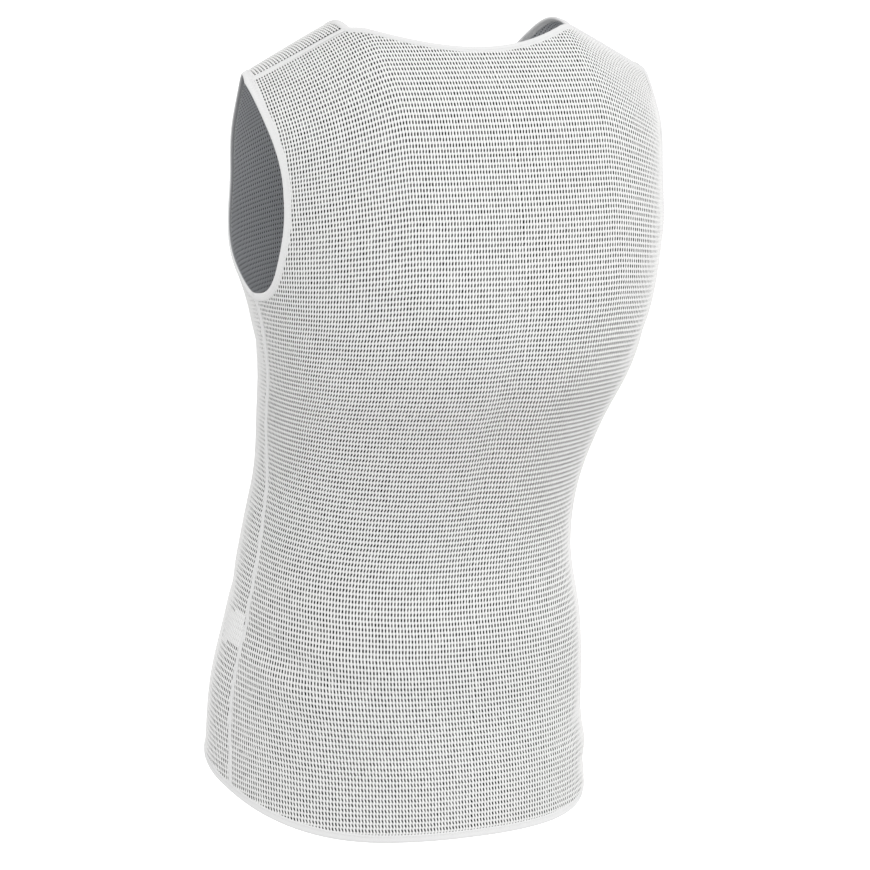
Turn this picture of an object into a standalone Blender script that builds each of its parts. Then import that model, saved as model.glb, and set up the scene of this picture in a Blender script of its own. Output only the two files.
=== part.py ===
"""Sleeveless mesh base layer, in the hollow form that it has when it is worn.

The garment is cut and sewn from a back panel and a front panel. A folded binding
finishes the neck, each armhole and the hem, and a blank care label is sewn inside
the left side seam. All sizes are in metres.

+Z is up, the front faces -Y and the wearer's left is +X. The origin lies midway
between the two neck points, on the line of the shoulders.

A place on the garment is given by two values. "reach" is the length of cloth from
the shoulder ridge down. "turn" is the angle round the body: 0 degrees at the left
side, 90 at the centre of the back and -90 at the centre of the front.
"""

from math import acos, cos, degrees, pi, radians, sin, tan

import bpy
import numpy as np

# Cloth
WALL = 0.0015
SEAM_GAP = 0.0003
BINDING_WIDTH = 0.0066
BINDING_PROUD = 0.0005
BINDING_THICK = 0.0026
BINDING_FOLD = 0.14  # share of the binding's width taken by the roll of each fold
BINDING_SOFTNESS = 0.3  # share of its thickness that its corners are softened by

# Shoulders
SHOULDER_ROUND = 0.105  # height over which the shoulder rounds over its ridge
SHOULDER_SLOPE = radians(26)
SLOPE_START = 0.094  # distance from the middle where the shoulder starts to fall
SLOPE_EASE = 0.010
SLOPE_FADE = 0.117  # depth at which the cloth's rows have lost half of that fall
SLOPE_FADE_POWER = 2.2
ROUND_REACH = 0.146  # cloth length over the rounded part
SHOULDER_SEAM = 0.030  # the shoulder seam lies this far behind the ridge

# Neck
NECK_HALF_WIDTH = 0.1075
BACK_NECK_DROP = 0.025
FRONT_NECK_DROP = 0.092
BACK_NECK_CURVE = (1.15, 0.48)  # exponents that round the neckline
FRONT_NECK_CURVE = (2.40, 0.31)
NECK_SAMPLES = 160

# Armholes
PIT_DROP = 0.217
BACK_ARM_TURN = 22.5  # how far round from the side the armhole's back edge lies
FRONT_ARM_TURN = 26.0
RIDGE_ARM_TURN = 18.0
BACK_PIT_ROUND = 0.080
FRONT_PIT_ROUND = 0.100
BACK_PIT_FULLNESS = 2.1  # 2 gives a quarter of an ellipse
FRONT_PIT_FULLNESS = 1.9

# Hem
HEM_DROP = 0.6665
FRONT_LIFT = 0.033  # how much shorter the front is than the tail at the back
LIFT_FULL = -45.0  # turn at which the front's lift is complete
LIFT_START = 65.0  # turn at which the hem starts to rise towards the front

# Care label, inside the front panel next to the left side seam
LABEL_WIDTH = 0.036
LABEL_HEIGHT = 0.028
LABEL_THICK = 0.0010
LABEL_DROP = 0.520
LABEL_FROM_SEAM = 0.003

# Steps of the mesh on each half of a panel
NECK_STEPS = 8
SHOULDER_STEPS = 5
ARMHOLE_STEPS = 21
BODY_STEPS = 22
HEM_EASE = 3  # how fast the rows above the hem lose its curve
TOP_EASE = 2  # how fast the rows below the neck and shoulders lose theirs
ACROSS_SAMPLES = 61
SHARP_ANGLE = radians(50)
SMALL_REACH = 0.0005  # steps that directions on the surface are measured with
SMALL_TURN = 0.2

ROUNDNESS = 2.3  # exponent of the body's sections: 2 is an ellipse
CENTRE_BACK = 90.0
CENTRE_FRONT = -90.0
CLOTH_WHITE = (0.80, 0.80, 0.82, 1.0)
BINDING_WHITE = (0.86, 0.86, 0.87, 1.0)
LABEL_WHITE = (0.88, 0.88, 0.88, 1.0)
CLOTH_ROUGHNESS = 0.85
BINDING_ROUGHNESS = 0.70

# One row for each section of the body, from the shoulder ridge to below the hem.
# lean: how far a section's rows drop for each metre towards the back.
# seam_turn: where the side seam lies, in degrees round from the widest point.
SECTION_COLUMNS = (
    "drop", "middle_y", "half_width", "back_depth", "front_depth", "lean", "seam_turn"
)
SECTIONS = (
    (0.000, 0.000, 0.209, 0.068, 0.058, 0.00, -4.0),
    (0.050, 0.002, 0.207, 0.090, 0.079, 0.00, -4.0),
    (0.100, 0.002, 0.202, 0.102, 0.090, 0.00, -4.0),
    (0.180, 0.003, 0.196, 0.117, 0.107, 0.02, -4.0),
    (0.237, 0.008, 0.179, 0.119, 0.117, 0.06, -4.5),
    (0.290, -0.001, 0.165, 0.112, 0.114, 0.10, -6.0),
    (0.335, -0.023, 0.154, 0.104, 0.107, 0.14, -6.0),
    (0.390, -0.045, 0.145, 0.099, 0.102, 0.19, -2.5),
    (0.440, -0.060, 0.147, 0.103, 0.104, 0.20, 0.0),
    (0.505, -0.065, 0.158, 0.113, 0.110, 0.20, 0.0),
    (0.575, -0.078, 0.167, 0.120, 0.117, 0.18, 1.0),
    (0.625, -0.081, 0.169, 0.122, 0.120, 0.18, 2.5),
    (0.700, -0.085, 0.169, 0.122, 0.120, 0.18, 4.0),
)


def section_value(column, drop):
    """One column of SECTIONS at a drop below the shoulders, on a smooth curve."""
    rows = np.array(SECTIONS)
    drops = rows[:, 0]
    values = rows[:, SECTION_COLUMNS.index(column)]
    steps = np.diff(drops)
    slopes = np.diff(values) / steps
    tangents = np.empty_like(values)
    joined = slopes[:-1] * steps[1:] + slopes[1:] * steps[:-1]
    tangents[1:-1] = joined / (steps[:-1] + steps[1:])
    tangents[0] = slopes[0]
    tangents[-1] = slopes[-1]
    k = np.clip(np.searchsorted(drops, drop) - 1, 0, len(drops) - 2)
    step = steps[k]
    t = (drop - drops[k]) / step
    start = (2 * t**3 - 3 * t**2 + 1) * values[k] + (t**3 - 2 * t**2 + t) * step * tangents[k]
    end = (3 * t**2 - 2 * t**3) * values[k + 1] + (t**3 - t**2) * step * tangents[k + 1]
    return start + end


def drop_at(reach):
    """Height below the shoulder ridge that a length of cloth comes down to."""
    angle = np.clip(reach / ROUND_REACH, 0, 1) * pi / 2
    below = np.maximum(reach - ROUND_REACH, 0)
    return SHOULDER_ROUND * (1 - np.cos(angle)) + below


def reach_at(drop):
    """Length of cloth from the ridge down to a drop."""
    if drop >= SHOULDER_ROUND:
        return ROUND_REACH + drop - SHOULDER_ROUND
    return ROUND_REACH * acos(1 - drop / SHOULDER_ROUND) * 2 / pi


def shoulder_fall(side, drop):
    """How far the cloth falls away at a distance from the middle."""
    past = np.maximum(side - SLOPE_START, 0)
    eased = past - SLOPE_EASE * (1 - np.exp(-past / SLOPE_EASE))
    fade = 1 / (1 + (drop / SLOPE_FADE) ** SLOPE_FADE_POWER)
    return tan(SHOULDER_SLOPE) * eased * fade


def body_point(reach, turn):
    """The worn cloth's outer surface. A negative reach is past the ridge."""
    reach = np.asarray(reach, dtype=float)
    past_ridge = np.where(reach < 0, -1.0, 1.0)
    angle = np.radians(turn) * past_ridge
    reach = np.abs(reach)
    drop = drop_at(reach)
    rounding = np.sin(np.clip(reach / ROUND_REACH, 0, 1) * pi / 2)
    along = np.cos(angle)
    out = np.sin(angle)
    back = section_value("back_depth", drop)
    front = section_value("front_depth", drop)
    depth = np.where(out >= 0, back, front) * rounding
    power = 2 / ROUNDNESS
    x = section_value("half_width", drop) * np.sign(along) * np.abs(along) ** power
    y = depth * np.sign(out) * np.abs(out) ** power
    z = -drop - shoulder_fall(np.abs(x), drop) - section_value("lean", drop) * y
    return np.stack([x, section_value("middle_y", drop) + y, z], axis=-1)


def surface_frame(reach, turn):
    """Point, outward normal, and the steps for 1 m of reach and 1 degree of turn."""
    point = body_point(reach, turn)
    down = body_point(reach + SMALL_REACH, turn) - body_point(reach - SMALL_REACH, turn)
    down = down / (2 * SMALL_REACH)
    round_ = body_point(reach, turn + SMALL_TURN) - body_point(reach, turn - SMALL_TURN)
    round_ = round_ / (2 * SMALL_TURN)
    normal = np.cross(round_, -down)
    normal = normal / np.linalg.norm(normal)
    return point, normal, down, round_


def seam_turn(reach):
    """Where the left side seam lies at a reach."""
    return float(section_value("seam_turn", float(drop_at(reach))))


def pit_rise(height, length, fullness):
    """0 at the armhole's lowest point, rising along a rounded curve to 1."""
    t = min(max(height / length, 0.0), 1.0)
    return (1 - (1 - t) ** fullness) ** (1 / fullness)


def arm_turn(reach, back):
    """The armhole's free edge on the left side of the back or front panel."""
    pit = reach_at(PIT_DROP)
    seam = seam_turn(pit)
    start = SHOULDER_SEAM if back else -SHOULDER_SEAM
    hollow = sin(pi * min(max((reach - start) / (pit - start), 0.0), 1.0))
    middle = BACK_ARM_TURN if back else FRONT_ARM_TURN
    widest = RIDGE_ARM_TURN + (middle - RIDGE_ARM_TURN) * hollow
    if back:
        return seam + (widest - seam) * pit_rise(pit - reach, BACK_PIT_ROUND, BACK_PIT_FULLNESS)
    rise = pit_rise(pit - reach, FRONT_PIT_ROUND, FRONT_PIT_FULLNESS)
    return seam - (widest + seam) * rise


def turn_at_side(reach, side):
    """The turn, between the left side and a centre line, with this value of x."""
    half_width = float(section_value("half_width", float(drop_at(abs(reach)))))
    return degrees(acos(min(1.0, (side / half_width) ** (ROUNDNESS / 2))))


def neck_side(share, back):
    """Half the neck's width at a share of the way from the shoulder seam to its middle."""
    power, fullness = BACK_NECK_CURVE if back else FRONT_NECK_CURVE
    return NECK_HALF_WIDTH * (1 - share**power) ** fullness


def neck_line(back):
    """Evenly spaced places on the left half of the neck's free edge, seam to middle."""
    share = np.sin(np.linspace(0, pi / 2, NECK_SAMPLES))
    start = SHOULDER_SEAM if back else -SHOULDER_SEAM
    deepest = reach_at(BACK_NECK_DROP if back else FRONT_NECK_DROP)
    reaches = start + (deepest - start) * share
    sides = neck_side(share, back)
    turns = np.array([turn_at_side(reach, side) for reach, side in zip(reaches, sides)])
    turns = turns if back else -turns
    lengths = np.linalg.norm(np.diff(body_point(reaches, turns), axis=0), axis=1)
    travelled = np.concatenate([[0.0], np.cumsum(lengths)])
    stops = np.linspace(0, travelled[-1], NECK_STEPS + 1)
    return list(zip(np.interp(stops, travelled, reaches), np.interp(stops, travelled, turns)))


def hem_edge(turn):
    """Reach of the hem's free edge, longer at the back than at the front."""
    side_turn = turn
    if turn > CENTRE_BACK:
        side_turn = 180 - turn
    if turn < CENTRE_FRONT:
        side_turn = -180 - turn
    share = min(max((LIFT_START - side_turn) / (LIFT_START - LIFT_FULL), 0.0), 1.0)
    return reach_at(HEM_DROP) - FRONT_LIFT * (1 - cos(pi * share)) / 2


def armhole_loop():
    """Free edge of the left armhole: down the back, round the pit, up the front."""
    pit = reach_at(PIT_DROP)
    places = []
    for step in range(ARMHOLE_STEPS + 1):
        share = sin(pi / 2 * step / ARMHOLE_STEPS)
        reach = SHOULDER_SEAM + (pit - SHOULDER_SEAM) * share
        places.append((reach, arm_turn(reach, True)))
    for step in range(ARMHOLE_STEPS - 1, 0, -1):
        share = sin(pi / 2 * step / ARMHOLE_STEPS)
        reach = -SHOULDER_SEAM + (pit + SHOULDER_SEAM) * share
        places.append((reach, arm_turn(reach, False)))
    return places


def neck_loop():
    """Free edge of the neck, from the right neck point round the back and the front."""
    back = neck_line(True)
    front = neck_line(False)
    right_back = [mirrored(place) for place in back]
    right_front = [mirrored(place) for place in front]
    return right_back[:-1] + back[::-1] + front[1:] + right_front[-2:0:-1]


def turn_across(reach, centre, outer, share):
    """The turn at a share of the cloth's width, from a centre line to an outer turn."""
    turns = np.linspace(centre, outer, ACROSS_SAMPLES)
    points = body_point(reach, turns)
    lengths = np.linalg.norm(np.diff(points, axis=0), axis=1)
    travelled = np.concatenate([[0.0], np.cumsum(lengths)])
    return float(np.interp(share * travelled[-1], travelled, turns))


def column_shares():
    """Where the columns of half a panel lie, from the centre line to the side."""
    columns = NECK_STEPS + SHOULDER_STEPS
    return [column / columns for column in range(columns + 1)]


def mirrored(place):
    """The same place on the right side of the garment."""
    reach, turn = place
    return reach, (180 - turn if turn > CENTRE_FRONT / 2 else -180 - turn)


def hem_loop():
    """Free edge of the hem, from the left side seam round the back and the front."""
    low = reach_at(HEM_DROP)
    seam = seam_turn(low)
    outwards = column_shares()[1:]
    backs = [turn_across(low, CENTRE_BACK, seam, share) for share in outwards]
    fronts = [turn_across(low, CENTRE_FRONT, seam, share) for share in outwards[:-1]]
    turns = backs[::-1] + [CENTRE_BACK] + [180 - turn for turn in backs]
    turns += [-180 - turn for turn in fronts[::-1]] + [CENTRE_FRONT] + fronts
    return [(hem_edge(turn), turn) for turn in turns]


def inset(places, index, width):
    """A place moved into the cloth, square to the closed loop that it is on.

    Each loop runs so that the cloth is on its left, seen from outside the garment.
    """
    reach, turn = places[index]
    before = body_point(*places[index - 1])
    after = body_point(*places[(index + 1) % len(places)])
    _, normal, down, round_ = surface_frame(reach, turn)
    inward = np.cross(normal, after - before)
    inward = inward / np.linalg.norm(inward)
    steps = np.linalg.lstsq(np.stack([down, round_], axis=1), inward * width, rcond=None)[0]
    return reach + steps[0], turn + steps[1]


def reach_at_seam(places, index, width):
    """Reach at which a loop's inset line crosses the left side seam."""
    near = [inset(places, (index + step) % len(places), width) for step in (-1, 0, 1)]
    near.sort(key=lambda place: place[1])
    reaches = [place[0] for place in near]
    turns = [place[1] for place in near]
    return float(np.interp(seam_turn(near[1][0]), turns, reaches))


def past_ridge(place):
    """The same place, counted by the other panel past the shoulder ridge."""
    reach, turn = place
    return -reach, -turn


def side_at_seam(inner, seam_reach):
    """Distance from the middle at which the neck's inset line crosses a seam's edge."""
    corner = 2 * NECK_STEPS
    near = [inner[corner - 1], inner[corner], past_ridge(inner[corner + 1])]
    near.sort()
    sides = [abs(float(body_point(*place)[0])) for place in near]
    return float(np.interp(abs(seam_reach), [place[0] for place in near], sides))


def inset_all(loop, width):
    """Every place of a closed loop, moved into the cloth."""
    return [inset(loop, index, width) for index in range(len(loop))]


def inset_neck(width):
    """The neck's inset line, with a corner on each shoulder seam."""
    inner = inset_all(neck_loop(), width)
    turn = turn_at_side(SHOULDER_SEAM, side_at_seam(inner, SHOULDER_SEAM))
    inner[2 * NECK_STEPS] = (SHOULDER_SEAM, turn)
    inner[0] = mirrored(inner[2 * NECK_STEPS])
    return inner


def outer_edge(back):
    """Left edge of a panel from the hem to the shoulder: side seam, then armhole."""
    width = BINDING_WIDTH + SEAM_GAP
    loop = armhole_loop()
    holes = inset_all(loop, width)
    hem = hem_loop()
    low = reach_at_seam(hem, 0, width)
    pit = reach_at_seam(loop, ARMHOLE_STEPS, width)
    side = 1 if back else -1
    edge = []
    for step in range(BODY_STEPS + 1):
        reach = low + (pit - low) * step / BODY_STEPS
        seam = seam_turn(reach)
        step_round = np.linalg.norm(surface_frame(reach, seam)[3])
        edge.append((reach, seam + side * SEAM_GAP / 2 / step_round))
    if back:
        edge += holes[ARMHOLE_STEPS - 1::-1]
        edge[-1] = (SHOULDER_SEAM + SEAM_GAP / 2, edge[-1][1])
    else:
        edge += holes[ARMHOLE_STEPS + 1:]
        edge.append((SEAM_GAP / 2 - SHOULDER_SEAM, past_ridge(holes[0])[1]))
    return edge


def top_edge(back, tip):
    """Top of half a panel from the centre line: neckline, then shoulder seam."""
    inner = inset_neck(BINDING_WIDTH + SEAM_GAP)
    start = NECK_STEPS if back else 3 * NECK_STEPS
    step = 1 if back else -1
    places = [inner[start + step * k] for k in range(NECK_STEPS)]
    seam_reach = tip[0]
    neck_tip = side_at_seam(inner, seam_reach)
    tip_side = abs(float(body_point(*tip)[0]))
    for k in range(SHOULDER_STEPS + 1):
        side = neck_tip + (tip_side - neck_tip) * k / SHOULDER_STEPS
        turn = turn_at_side(seam_reach, side)
        places.append((seam_reach, turn if back else -turn))
    return places


def bottom_edge(back):
    """Bottom of half a panel from the centre line to the side seam."""
    width = BINDING_WIDTH + SEAM_GAP
    loop = hem_loop()
    columns = NECK_STEPS + SHOULDER_STEPS
    if back:
        return [inset(loop, columns - k, width) for k in range(columns + 1)]
    return [inset(loop, (3 * columns + k) % len(loop), width) for k in range(columns + 1)]


def half_panel_places(back):
    """Rows of places on the left half of a panel, from the hem to the shoulder."""
    centre = CENTRE_BACK if back else CENTRE_FRONT
    outer = outer_edge(back)
    top = top_edge(back, outer[-1])
    bottom = bottom_edge(back)
    low, pit, neck = bottom[0][0], outer[BODY_STEPS][0], top[0][0]
    rows = []
    for row, (outer_reach, outer_turn) in enumerate(outer):
        if row <= BODY_STEPS:
            middle_reach = low + (pit - low) * row / BODY_STEPS
        else:
            middle_reach = pit + (neck - pit) * (row - BODY_STEPS) / ARMHOLE_STEPS
        places = []
        for share in column_shares():
            reach = middle_reach + (outer_reach - middle_reach) * share
            places.append((reach, turn_across(reach, centre, outer_turn, share)))
        rows.append(np.array(places))
    bottom_change = np.array(bottom) - rows[0]
    bottom_change[-1] = 0
    top_change = np.array(top) - rows[-1]
    for row in range(BODY_STEPS):
        rows[row] = rows[row] + bottom_change * (1 - row / BODY_STEPS) ** HEM_EASE
    for row in range(ARMHOLE_STEPS + 1):
        eased = (row / ARMHOLE_STEPS) ** TOP_EASE
        rows[BODY_STEPS + row] = rows[BODY_STEPS + row] + top_change * eased
    return rows


def wall_points(places, outside, inside):
    """Points at two depths under the body surface, for rows of places."""
    outer_points = []
    inner_points = []
    for row in places:
        frames = [surface_frame(*place)[:2] for place in row]
        outer_points.append([point - normal * outside for point, normal in frames])
        inner_points.append([point - normal * inside for point, normal in frames])
    return np.array(outer_points), np.array(inner_points)


def add_object(name, points, faces, material):
    """A smooth-shaded object from points and faces, with its own material."""
    mesh = bpy.data.meshes.new(name)
    mesh.from_pydata([tuple(point) for point in points], [], faces)
    mesh.materials.append(material)
    mesh.shade_smooth()
    mesh.set_sharp_from_angle(angle=SHARP_ANGLE)
    item = bpy.data.objects.new(name, mesh)
    bpy.context.scene.collection.objects.link(item)
    return item


def add_wall(name, outer, inner, material):
    """A closed wall of cloth between two grids of points, closed along its rim."""
    rows, columns = outer.shape[:2]
    points = np.concatenate([outer.reshape(-1, 3), inner.reshape(-1, 3)])
    inside = rows * columns
    faces = []
    for row in range(rows - 1):
        for column in range(columns - 1):
            a = row * columns + column
            quad = (a, a + 1, a + 1 + columns, a + columns)
            faces.append(quad)
            faces.append(tuple(inside + corner for corner in reversed(quad)))
    rim = [column for column in range(columns)]
    rim += [row * columns + columns - 1 for row in range(1, rows)]
    rim += [(rows - 1) * columns + column for column in range(columns - 2, -1, -1)]
    rim += [row * columns for row in range(rows - 2, 0, -1)]
    for start, end in zip(rim, rim[1:] + rim[:1]):
        faces.append((end, start, inside + start, inside + end))
    return add_object(name, points, faces, material)


def make_panel(name, back, material):
    """The back or front panel. Returns the points of its inner face."""
    left = half_panel_places(back)
    rows = []
    for places in left:
        right = [mirrored(place) for place in places[:0:-1]]
        rows.append(right + [tuple(place) for place in places])
    outer, inner = wall_points(rows, 0.0, WALL)
    if back:
        outer = outer[:, ::-1]
        inner = inner[:, ::-1]
    add_wall(name, outer, inner, material)
    return inner


def make_binding(name, loop, inner, mirror, material):
    """A folded binding: a closed band from a free edge to an inner line."""
    outer_depth = -BINDING_PROUD
    inner_depth = BINDING_THICK - BINDING_PROUD
    middle = (outer_depth + inner_depth) / 2
    soften = BINDING_THICK * BINDING_SOFTNESS
    roll = soften * BINDING_SOFTNESS
    profile = (
        (0.0, middle),
        (BINDING_FOLD, outer_depth + roll),
        (1.0 - BINDING_FOLD, outer_depth + roll),
        (1.0, middle - soften),
        (1.0, middle + soften),
        (1.0 - BINDING_FOLD, inner_depth - roll),
        (BINDING_FOLD, inner_depth - roll),
    )
    points = []
    for place, inner_place in zip(loop, inner):
        for share, depth in profile:
            reach = place[0] + (inner_place[0] - place[0]) * share
            turn = place[1] + (inner_place[1] - place[1]) * share
            point, normal, _, _ = surface_frame(reach, turn)
            points.append(point - normal * depth)
    points = np.array(points)
    sides = len(profile)
    faces = []
    for index in range(len(loop)):
        after = (index + 1) % len(loop)
        for side in range(sides):
            beside = (side + 1) % sides
            near = (index * sides + beside, index * sides + side)
            faces.append((*near, after * sides + side, after * sides + beside))
    if mirror:
        points = points * (-1, 1, 1)
        faces = [face[::-1] for face in faces]
    return add_object(name, points, faces, material)


def make_label(front_inner, material):
    """The care label, made from the front panel's inner points next to the seam."""
    drops = -front_inner[:, -1, 2]
    row = int(np.argmin(np.abs(drops - LABEL_DROP - LABEL_HEIGHT / 2)))
    rows = front_inner[row:row + 2]
    outer = []
    inner = []
    for edge in rows:
        from_seam = edge[::-1]
        lengths = np.linalg.norm(np.diff(from_seam, axis=0), axis=1)
        travelled = np.concatenate([[0.0], np.cumsum(lengths)])
        stops = [LABEL_FROM_SEAM]
        stops += [length for length in travelled if LABEL_FROM_SEAM < length < LABEL_WIDTH]
        stops.append(LABEL_FROM_SEAM + LABEL_WIDTH)
        axes = [np.interp(stops, travelled, from_seam[:, axis]) for axis in range(3)]
        line = np.stack(axes, axis=-1)
        middle = front_inner[row].mean(axis=0)
        for depth, side in ((SEAM_GAP * 2, outer), (SEAM_GAP * 2 + LABEL_THICK, inner)):
            inward = (middle - line) * (1, 1, 0)
            inward = inward / np.linalg.norm(inward, axis=1)[:, None]
            side.append(line + inward * depth)
    outer = np.array(outer)[::-1]
    inner = np.array(inner)[::-1]
    return add_wall("care_label", outer, inner, material)


def make_material(name, colour, roughness):
    """A plain finish for one piece."""
    material = bpy.data.materials.new(name)
    material.use_nodes = True
    shader = material.node_tree.nodes["Principled BSDF"]
    shader.inputs["Base Color"].default_value = colour
    shader.inputs["Roughness"].default_value = roughness
    shader.inputs["Metallic"].default_value = 0.0
    return material


def make_garment():
    """Both panels, the four bindings and the care label."""
    for item in list(bpy.data.objects):
        bpy.data.objects.remove(item)
    mesh_cloth = make_material("white_mesh_cloth", CLOTH_WHITE, CLOTH_ROUGHNESS)
    binding_cloth = make_material("white_binding", BINDING_WHITE, BINDING_ROUGHNESS)
    label_cloth = make_material("blank_label", LABEL_WHITE, BINDING_ROUGHNESS)
    make_panel("back_panel", True, mesh_cloth)
    front_inner = make_panel("front_panel", False, mesh_cloth)
    make_binding("neck_binding", neck_loop(), inset_neck(BINDING_WIDTH), False, binding_cloth)
    armhole = armhole_loop()
    armhole_inner = inset_all(armhole, BINDING_WIDTH)
    make_binding("left_armhole_binding", armhole, armhole_inner, False, binding_cloth)
    make_binding("right_armhole_binding", armhole, armhole_inner, True, binding_cloth)
    hem = hem_loop()
    make_binding("hem_binding", hem, inset_all(hem, BINDING_WIDTH), False, binding_cloth)
    make_label(front_inner, label_cloth)


make_garment()
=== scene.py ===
"""Sleeveless base layer of open mesh knit, in the hollow form that it has when it is worn.

The cloth follows one surface, worked out from a short table of the body's sections. A
place on it is given by two values. "reach" is the length of cloth from the ridge of the
shoulders down, and a negative reach lies past the ridge. "turn" is the angle round the
body in degrees: 0 at the left side, 90 at the centre of the back, -90 at the centre of the
front. A "depth" is how far a point lies under the cloth's outer face. Sizes are in metres.
"""

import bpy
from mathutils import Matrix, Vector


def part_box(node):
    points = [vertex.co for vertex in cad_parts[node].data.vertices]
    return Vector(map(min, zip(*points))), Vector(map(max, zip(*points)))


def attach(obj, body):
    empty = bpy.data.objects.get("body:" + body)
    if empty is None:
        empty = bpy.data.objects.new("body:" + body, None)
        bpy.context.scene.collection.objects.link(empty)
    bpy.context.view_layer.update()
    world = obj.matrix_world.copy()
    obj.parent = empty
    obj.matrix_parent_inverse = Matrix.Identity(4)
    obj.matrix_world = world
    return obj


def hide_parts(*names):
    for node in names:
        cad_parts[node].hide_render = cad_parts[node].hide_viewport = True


bl_info = {
    "name": "Mesh base layer",
    "version": (1, 0, 0),
    "blender": (4, 5, 0),
    "location": "3D View > Sidebar > Base layer",
    "description": "Sews a sleeveless base layer of open mesh knit round its frame",
    "category": "Object",
}

from math import acos, cos, pi, radians, sin, tan

import bpy
import numpy as np
from bpy.props import FloatProperty, FloatVectorProperty, PointerProperty
from mathutils import Vector
from mathutils.kdtree import KDTree

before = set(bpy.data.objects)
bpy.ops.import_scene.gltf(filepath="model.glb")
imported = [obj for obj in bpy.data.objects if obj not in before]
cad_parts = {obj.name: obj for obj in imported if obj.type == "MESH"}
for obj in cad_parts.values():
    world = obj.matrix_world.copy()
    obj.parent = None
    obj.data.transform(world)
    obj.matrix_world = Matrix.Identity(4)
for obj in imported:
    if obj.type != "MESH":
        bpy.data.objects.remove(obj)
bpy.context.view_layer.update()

# ---------------------------------------------------------------- the body's surface

SHOULDER_ROUND = 0.105
SHOULDER_SLOPE = radians(26)
SLOPE_START = 0.094
SLOPE_EASE = 0.010
SLOPE_FADE = 0.117
SLOPE_FADE_POWER = 2.2
ROUND_REACH = 0.146
SHOULDER_SEAM = 0.030
ROUNDNESS = 2.3
SMALL_REACH = 0.0005  # steps either side of a place that find how the surface runs there
SMALL_TURN = 0.2

SECTION_COLUMNS = (
    "drop", "middle_y", "half_width", "back_depth", "front_depth", "lean", "seam_turn"
)
SECTIONS = np.array((
    (0.000, 0.000, 0.209, 0.068, 0.058, 0.00, -4.0),
    (0.050, 0.002, 0.207, 0.090, 0.079, 0.00, -4.0),
    (0.100, 0.002, 0.202, 0.102, 0.090, 0.00, -4.0),
    (0.180, 0.003, 0.196, 0.117, 0.107, 0.02, -4.0),
    (0.237, 0.008, 0.179, 0.119, 0.117, 0.06, -4.5),
    (0.290, -0.001, 0.165, 0.112, 0.114, 0.10, -6.0),
    (0.335, -0.023, 0.154, 0.104, 0.107, 0.14, -6.0),
    (0.390, -0.045, 0.145, 0.099, 0.102, 0.19, -2.5),
    (0.440, -0.060, 0.147, 0.103, 0.104, 0.20, 0.0),
    (0.505, -0.065, 0.158, 0.113, 0.110, 0.20, 0.0),
    (0.575, -0.078, 0.167, 0.120, 0.117, 0.18, 1.0),
    (0.625, -0.081, 0.169, 0.122, 0.120, 0.18, 2.5),
    (0.700, -0.085, 0.169, 0.122, 0.120, 0.18, 4.0),
))

# Soft folds and dents. Columns: turn and reach of the middle; length and width, how far each
# runs along and across its line; slant, where 0 runs round the body and 90 runs up and down;
# rise, how far it stands out, or in where it is negative.
FOLDS = np.array((
    (22.0, 0.560, 0.060, 0.012, 12.0, -0.0030),
    (30.0, 0.590, 0.055, 0.011, 14.0, 0.0020),
    (38.0, 0.535, 0.060, 0.010, 10.0, -0.0016),
    (52.0, 0.560, 0.050, 0.009, 8.0, 0.0012),
    (158.0, 0.655, 0.040, 0.011, -14.0, 0.0028),
    (150.0, 0.690, 0.050, 0.012, -18.0, 0.0026),
    (140.0, 0.630, 0.050, 0.011, -14.0, -0.0014),
    (90.0, 0.250, 0.110, 0.014, 90.0, -0.0018),
    (90.0, 0.400, 0.090, 0.012, 90.0, -0.0022),
    (60.0, 0.255, 0.050, 0.014, 30.0, 0.0012),
    (120.0, 0.255, 0.050, 0.014, -30.0, 0.0012),
    (28.0, 0.300, 0.050, 0.010, 35.0, -0.0012),
    (150.0, 0.300, 0.050, 0.010, -35.0, -0.0012),
    (-28.0, 0.300, 0.050, 0.010, 35.0, -0.0014),
    (-150.0, 0.300, 0.050, 0.010, -35.0, -0.0014),
    (-60.0, 0.440, 0.060, 0.011, 10.0, 0.0016),
    (-110.0, 0.470, 0.060, 0.011, -8.0, -0.0016),
    (-40.0, 0.520, 0.055, 0.011, 12.0, -0.0018),
    (-140.0, 0.545, 0.055, 0.011, -12.0, 0.0018),
    (-90.0, 0.610, 0.070, 0.012, 4.0, -0.0012),
))
FOLD_GIRTH = 0.145  # radius used to turn degrees round the body into a length of cloth

# How the knit lies as it is worn. row: height of a cell against the row pitch. drift: how
# far the back panel's columns have crept towards the wearer's right. lean: how far the top
# of an opening lies to the wearer's right of its foot, as a share of the column pitch.
KNIT_COLUMNS = ("reach", "row", "drift", "lean")
KNIT_LIE = np.array((
    (-0.040, 0.90, 0.0000, 0.05),
    (0.030, 0.90, 0.0000, 0.05),
    (0.090, 0.90, -0.0030, 0.08),
    (0.140, 0.92, -0.0034, 0.10),
    (0.175, 0.97, -0.0036, 0.10),
    (0.205, 0.95, -0.0040, 0.12),
    (0.235, 0.91, -0.0060, 0.15),
    (0.262, 0.88, -0.0084, 0.18),
    (0.295, 0.86, -0.0095, 0.22),
    (0.325, 0.82, -0.0076, 0.26),
    (0.356, 0.81, -0.0020, 0.30),
    (0.389, 0.84, 0.0046, 0.32),
    (0.422, 0.88, 0.0086, 0.32),
    (0.455, 0.92, 0.0100, 0.28),
    (0.487, 0.92, 0.0095, 0.20),
    (0.520, 0.93, 0.0080, 0.10),
    (0.552, 0.97, 0.0090, 0.00),
    (0.586, 1.01, 0.0136, -0.12),
    (0.620, 0.99, 0.0178, -0.20),
    (0.654, 0.96, 0.0205, -0.24),
    (0.700, 0.90, 0.0220, -0.26),
))
KNIT_SEED = 7  # for how far the openings' corners stray
BACK_CROWDING = 0.85  # how much narrower the back's columns get for each metre to the left

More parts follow.
